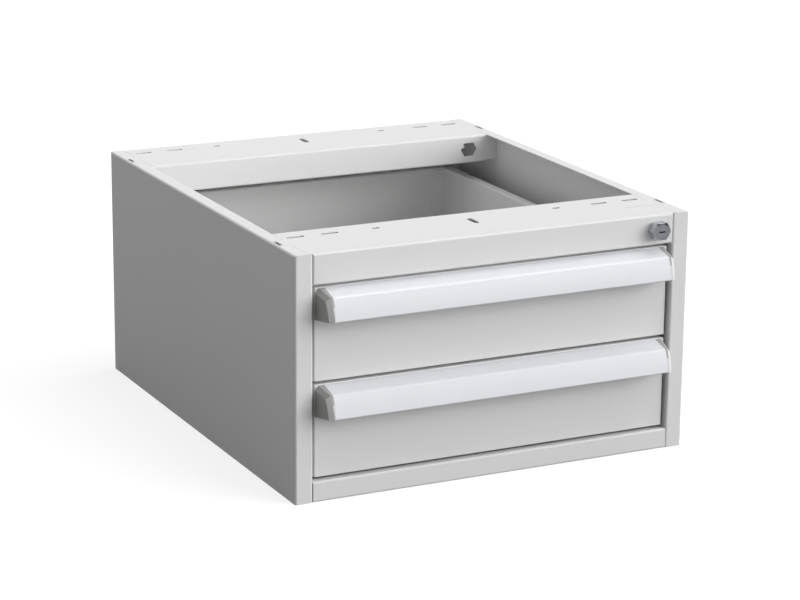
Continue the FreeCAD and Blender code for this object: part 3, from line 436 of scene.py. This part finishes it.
def islands(node: str) -> list[Box]:
    """The boxes of the separate solids of a CAD node.

    Args:
        node: the node's name.

    Returns:
        The lowest and highest corner of each solid.
    """
    work = bmesh.new()
    work.from_mesh(frame["nodes"][node].data)
    bmesh.ops.remove_doubles(work, verts=work.verts, dist=WELD)
    left, boxes = set(work.verts), []
    while left:
        start = left.pop()
        reach, group = [start], [start]
        while reach:
            for edge in reach.pop().link_edges:
                for vertex in edge.verts:
                    if vertex in left:
                        left.remove(vertex)
                        reach.append(vertex)
                        group.append(vertex)
        boxes.append((Vector(min(v.co[i] for v in group) for i in range(3)),
                      Vector(max(v.co[i] for v in group) for i in range(3))))
    work.free()
    return sorted(boxes, key=lambda box: tuple(round(part, 5) for part in box[0]))


@dataclass
class HeadedPins:
    """Screws and rivets: a domed head with a recess, on a plain stem."""

    recess: Recess
    head_height: float
    stem_radius: float
    crown: float = 0.62
    # the head rises in layers: each one's share of the height, and the width that it ends with
    rises: tuple[float, ...] = (0.35, 0.3, 0.25, 0.1)
    widths: tuple[float, ...] = (1.0, 0.93, 0.86)
    head_sides: int = 28
    stem_sides: int = 16
    pin_share: float = 0.24
    cross_long: float = 1.15
    cross_wide: float = 0.22
    cross_high: float = 1.2
    recess_rise: float = 0.95

    def __post_init__(self) -> None:
        """Build the tree for this kind of head."""
        growth = self.growth = Growth("pins_with_" + self.recess.value)
        radius, height = growth.ask("Head radius"), growth.ask("Head height")
        stem, length = growth.ask("Stem radius"), growth.ask("Stem length")
        crown = growth.ask("Crown")
        turn = growth.node("GeometryNodeInputNamedAttribute",
                           {"data_type": "FLOAT_VECTOR"}, {"Name": "turn"})
        head = self._head(growth, radius, height, crown)
        sunk = growth.node("GeometryNodeMeshBoolean",
                           {"operation": "DIFFERENCE", "solver": "EXACT"},
                           {"Mesh 1": head, "Mesh 2": self._tools(growth, radius, height)})
        rod = growth.node("GeometryNodeMeshCylinder", None,
                          {"Vertices": self.stem_sides, "Radius": stem, "Depth": length})
        whole = growth.join(sunk, growth.shift(rod, z=length * -0.5))
        growth.close(growth.entry, whole, turn)

    def _head(self, growth: Growth, radius: Wire, height: Wire, crown: Wire) -> Wire:
        """A closed, domed head, grown layer by layer from a disc."""
        disc = growth.node("GeometryNodeMeshCircle", {"fill_type": "NGON"},
                           {"Vertices": self.head_sides, "Radius": radius})
        skin = disc
        for rise, width in zip(self.rises, (*self.widths, crown)):
            skin = growth.node("GeometryNodeExtrudeMesh", {"mode": "FACES"}, {
                "Mesh": skin if skin is disc else skin.out("Mesh"), "Offset Scale": height * rise,
                "Individual": False, **({} if skin is disc else {"Selection": skin.out("Top")})})
            if width != 1.0:
                scaled = growth.node("GeometryNodeScaleElements", {"domain": "FACE"}, {
                    "Geometry": skin.out("Mesh"), "Selection": skin.out("Top"), "Scale": width})
                skin = _Layer(scaled, skin.out("Top"))
        under = growth.node("GeometryNodeFlipFaces", None, {"Mesh": disc})
        return growth.node("GeometryNodeMergeByDistance", None,
                           {"Geometry": growth.join(skin.out("Mesh"), under), "Distance": WELD})

    def _tools(self, growth: Growth, radius: Wire, height: Wire) -> list[Wire]:
        """What is cut out of the head."""
        if self.recess is Recess.PIN:
            tools = [growth.node("GeometryNodeMeshCylinder", None, {
                "Vertices": self.stem_sides, "Radius": radius * self.pin_share, "Depth": height})]
        else:
            arms = ((self.cross_long, self.cross_wide), (self.cross_wide, self.cross_long))
            tools = [growth.node("GeometryNodeMeshCube", None, {
                "Size": growth.size(radius * x, radius * y, height * self.cross_high)})
                for x, y in arms]
        return [growth.shift(tool, z=height * self.recess_rise) for tool in tools]

    def place(self, node: str, body: str, axis: str, outward: int, finish: Finishes) -> None:
        """Put one on each solid of a CAD node.

        Across the unit the ones left of the middle are turned round.

        Args:
            node: the CAD node that the new piece stands for.
            body: the body that it moves with.
            axis: the stem's axis.
            outward: which way along it the heads point, right of the middle.
            finish: what they are made of.
        """
        way = "XYZ".index(axis)
        seats, turns, radius, length = [], [], 0.0, 0.0
        for low, high in islands(node):
            seat = (low + high) / 2
            facing = -outward if axis == "X" and seat.x < 0 else outward
            seat[way] = (high[way] if facing > 0 else low[way]) - facing * self.head_height
            seats.append(seat)
            aim = Vector(facing if i == way else 0.0 for i in range(3))
            turns.append(aim.to_track_quat("Z", "Y").to_euler())
            across = (way + 1) % 3
            radius = (high[across] - low[across]) / 2
            length = high[way] - low[way] - self.head_height
        piece = self.growth.grow(node + "_made", seats, {
            "Head radius": radius, "Head height": self.head_height, "Crown": self.crown,
            "Stem radius": self.stem_radius, "Stem length": length,
            "Material": finish.material}, turns)
        settle(piece, (node,), body)


class _Layer(Wire):
    """A scaled layer of a head, with the top it grows from."""

    def __init__(self, scaled: Wire, top: Wire) -> None:
        """Keep the scaled mesh and the selection of its top."""
        super().__init__(scaled.tree, scaled.owner, scaled.socket)
        self.top = top

    def out(self, name: str) -> Wire:
        """The top of the layer, or its mesh."""
        return self.top if name == "Top" else Wire(self.tree, self.owner, self.socket)


@dataclass
class BallCages:
    """Strips with bearing balls, between the members of the slides."""

    balls: int = 13
    strip_share: float = 0.36
    row_end: float = 0.46
    ball_gap: float = 0.05 * MM
    ball_segments: int = 16
    ball_rings: int = 10

    def __post_init__(self) -> None:
        """Build the tree."""
        growth = self.growth = Growth("ball_cages")
        length, width = growth.ask("Length"), growth.ask("Width")
        height, radius = growth.ask("Height"), growth.ask("Ball radius")
        count, share = growth.ask("Balls", "NodeSocketInt"), growth.ask("Strip share")
        strip = growth.node("GeometryNodeMeshCube", None,
                            {"Size": growth.size(width, length, height * share)})
        start = growth.size(0.0, length * -self.row_end, 0.0)
        end = growth.size(0.0, length * self.row_end, 0.0)
        row = growth.node("GeometryNodeMeshLine", {"mode": "END_POINTS"},
                          {"Count": count, "Start Location": start, "Offset": end})
        ball = growth.node("GeometryNodeMeshUVSphere", None, {
            "Segments": self.ball_segments, "Rings": self.ball_rings, "Radius": radius})
        smooth = growth.node("GeometryNodeSetShadeSmooth", None, {"Geometry": ball})
        run = growth.node("GeometryNodeInstanceOnPoints", None, {"Points": row, "Instance": smooth})
        growth.close(growth.entry, growth.join(strip, run), (0.0, 0.0, 0.0))

    def place(self, node: str, body: str, race: float) -> None:
        """Put balls and strips where a CAD node has its plain strips.

        Args:
            node: the CAD node that the new piece stands for.
            body: the body that it moves with.
            race: the height between the members' tracks.
        """
        boxes = islands(node)
        centres = [(low + high) / 2 for low, high in boxes]
        span = boxes[0][1] - boxes[0][0]
        piece = self.growth.grow(node + "_made", centres, {
            "Length": span.y, "Width": span.x, "Height": span.z, "Strip share": self.strip_share,
            "Ball radius": race / 2 - self.ball_gap, "Balls": self.balls,
            "Material": Finishes.zinc_steel.material})
        settle(piece, (node,), body)


def settle(piece: bpy.types.Object, nodes: Sequence[str], body: str) -> None:
    """Hand a finished piece to its body.

    Args:
        piece: the finished object.
        nodes: the CAD nodes that it stands for.
        body: the body that it moves with.
    """
    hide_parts(*nodes)
    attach(piece, body)
    log.info("%s: %d faces on %s", piece.name, len(piece.data.polygons), body)


@dataclass
class DressedNodes:
    """The CAD nodes that keep their own shape and take a finish."""

    # how far a face must look to the front, and at most upward, to take the painted highlight
    front_limit: float = 0.35

    def _mark_fronts(self, mesh: bpy.types.Mesh) -> None:
        """Note on each face of a handle cap whether it looks to the front; these marks are the mask
        of the painted highlight.
        """
        marks = mesh.attributes.new(PAINTED_LIT_FRONT, "FLOAT", "FACE")
        for face, mark in zip(mesh.polygons, marks.data):
            forward, upward = -face.normal.y, face.normal.z
            mark.value = float(forward > self.front_limit and upward < self.front_limit)

    def dress(self) -> None:
        """Give every CAD node the finish of its slot."""
        for part in frame["record"]["subparts"]:
            node = frame["nodes"][part["node"]]
            finish = Finishes[part["material_slot"]]
            node.data.materials.clear()
            node.data.materials.append(finish.material)
            # mark the faces that take the painted highlight
            if finish is Finishes.grey_plastic:
                self._mark_fronts(node.data)
            log.info("%s: %s", node.name, finish.name)


@dataclass
class Drawer:
    """The small parts of one drawer and of its slides."""

    name: str
    race_height: float = 3.3 * MM

    def build(self, screws: HeadedPins, cages: BallCages) -> None:
        """Make the drawer's screws and ball cages."""
        body = self.name + "_drawer"
        screws.place(self.name + "_front_screws", body, "Y", 1, Finishes.zinc_steel)
        screws.place(self.name + "_handle_screws", body, "Y", 1, Finishes.zinc_steel)
        screws.place(self.name + "_tray_screws", body, "X", 1, Finishes.zinc_steel)
        for kind in ("outer", "inner"):
            cages.place(f"{self.name}_{kind}_ball_cages", f"{self.name}_{kind}_cages",
                        self.race_height)


@dataclass
class Cabinet:
    """The small parts of the fixed cabinet."""

    rivet_head: float = 1.0 * MM
    rivet_stem: float = 2.0 * MM
    rivet_crown: float = 0.7

    def build(self, screws: HeadedPins) -> None:
        """Make the rivets of the back and the screws of the slides."""
        rivets = HeadedPins(Recess.PIN, self.rivet_head, self.rivet_stem, self.rivet_crown)
        rivets.place("back_rivets", "cabinet", "Y", 1, Finishes.zinc_steel)
        screws.place("slide_screws", "cabinet", "X", -1, Finishes.zinc_steel)


@dataclass(frozen=True)
class Lamp:
    """One wide, soft lamp, far away; its angles are in degrees.

    The azimuth runs from the front towards the right.
    """

    name: str
    strength: float
    azimuth: float
    elevation: float
    spread: float = 45.0
    glare: bool = False

    def hang(self) -> None:
        """Put the lamp in place."""
        turn, rise = math.radians(self.azimuth), math.radians(self.elevation)
        lamp = bpy.data.lights.new(self.name, "SUN")
        lamp.energy = self.strength
        lamp.angle = math.radians(self.spread)
        softbox = bpy.data.objects.new(self.name, lamp)
        softbox.visible_glossy = self.glare
        softbox.rotation_mode = "QUATERNION"
        level = math.cos(rise)
        towards = Vector((math.sin(turn) * level, -math.cos(turn) * level, math.sin(rise)))
        softbox.rotation_quaternion = towards.to_track_quat("Z", "Y")
        bpy.context.scene.collection.objects.link(softbox)


@dataclass
class Studio:
    """Floor, world, lamps and camera."""

    floor_half: float = 9.0
    floor_seen: Colour = (0.45, 0.45, 0.45)
    floor_glow: Colour = (0.72, 0.72, 0.72)
    floor_bounce: Colour = (0.13, 0.13, 0.13)
    floor_roughness: float = 0.9
    sky_light: float = 0.456
    wall_behind: float = 1.29
    wall_left: float = 0.45
    wall_edge: float = 3.0
    wall_overlap: float = 0.1
    lamps: tuple[Lamp, ...] = (
        Lamp("softbox_side", 1.6, 65.0, 15.0),
        Lamp("softbox_front", 1.4, 40.0, 15.0),
        Lamp("softbox_above", 0.82, 65.0, 65.0, glare=True),
    )
    camera_place: Colour = (-1.372729, -2.800714, 1.008675)
    azimuth: float = math.radians(-26.302)
    elevation: float = math.radians(15.638)
    roll: float = math.radians(0.509)
    lens: float = 121.807
    sensor_width: float = 36.0
    nearest: float = 0.05
    farthest: float = 60.0

    def build(self) -> None:
        """Make the floor, the light and the camera."""
        self._floor()
        self._world()
        for lamp in self.lamps:
            lamp.hang()
        self._camera()

    @staticmethod
    def _rays(tree: Tree, *kinds: str) -> Wire:
        """1 where the ray is of one of the kinds."""
        path = tree.node("ShaderNodeLightPath")
        first, *others = (path.out(f"Is {kind} Ray") for kind in kinds)
        return tree.node("ShaderNodeClamp", None, {"Value": sum(others, first)})

    def _floor(self) -> None:
        """A pale floor that bounces little light back."""
        mesh = bpy.data.meshes.new("floor")
        half = self.floor_half
        mesh.from_pydata([(-half, -half, 0), (half, -half, 0), (half, half, 0), (-half, half, 0)],
                         [], [(0, 1, 2, 3)])
        floor = bpy.data.objects.new("floor", mesh)
        bpy.context.scene.collection.objects.link(floor)
        material = bpy.data.materials.new("floor_paint")
        shader = Shader(material)
        near = self._rays(shader, "Camera", "Transmission", "Glossy")
        plain = self._rays(shader, "Camera", "Transmission")
        shader.surface({"Base Color": shader.blend(near, self.floor_bounce, self.floor_seen),
                        "Emission Color": shader.blend(plain, (0.0, 0.0, 0.0), self.floor_glow),
                        "Emission Strength": 1.0, "Roughness": self.floor_roughness,
                        "Specular IOR Level": 0.0})
        mesh.materials.append(material)

    def _world(self) -> None:
        """White where it is seen, pale walls where it is reflected, dim where it lights."""
        world = bpy.data.worlds.new("studio")
        bpy.context.scene.world = world
        world.use_nodes = True
        tree = Tree(world.node_tree)
        ray = tree.node("ShaderNodeTexCoord").out("Object")
        parts = tree.node("ShaderNodeSeparateXYZ", None, {0: ray})
        behind = self._wall(tree, parts.out("Y"))
        left = (1.0 - behind) * self._wall(tree, parts.out("X") * -1.0)
        walls = behind * self.wall_behind + left * self.wall_left
        seen = self._rays(tree, "Camera", "Transmission")
        dim = self.sky_light + self._rays(tree, "Glossy") * (walls - self.sky_light)
        strength = dim + seen * (1.0 - dim)
        light = tree.node("ShaderNodeBackground", None,
                          {"Color": (1.0, 1.0, 1.0), "Strength": strength})
        tree.node("ShaderNodeOutputWorld", None, {"Surface": light})

    def _wall(self, tree: Tree, along: Wire) -> Wire:
        """1 on the side a direction points to, with a soft edge."""
        return tree.node("ShaderNodeClamp", None, {
            "Value": (along + self.wall_overlap) * self.wall_edge})

    def _camera(self) -> None:
        """The camera at its fitted place."""
        a, e, r = self.azimuth, self.elevation, self.roll
        back = Vector((math.sin(a) * math.cos(e), -math.cos(a) * math.cos(e), math.sin(e)))
        right = (-back).cross(Vector((0, 0, 1))).normalized()
        up = right.cross(-back)
        across = right * math.cos(r) + up * math.sin(r)
        upward = up * math.cos(r) - right * math.sin(r)
        turn = Matrix((across, upward, back)).transposed().to_4x4()
        data = bpy.data.cameras.new("camera")
        data.lens, data.sensor_width = self.lens, self.sensor_width
        data.clip_start, data.clip_end = self.nearest, self.farthest
        camera = bpy.data.objects.new("camera", data)
        camera.matrix_world = Matrix.Translation(self.camera_place) @ turn
        bpy.context.scene.collection.objects.link(camera)
        bpy.context.scene.camera = camera


def main() -> None:
    """Build the studio and the pieces in order; each new piece's face count is logged."""
    logging.basicConfig(level=logging.INFO, format="%(message)s")
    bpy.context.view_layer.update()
    bpy.context.scene.view_settings.view_transform = "Standard"
    for name in ("Cube", "Light", "Camera"):
        if name in bpy.data.objects:
            bpy.data.objects.remove(bpy.data.objects[name])
    Studio().build()
    DressedNodes().dress()
    screws = HeadedPins(Recess.CROSS, head_height=1.7 * MM, stem_radius=2.0 * MM)
    cages = BallCages()
    Cabinet().build(screws)
    for name in ("lower", "upper"):
        Drawer(name).build(screws, cages)


if __name__ == "__main__":
    main()
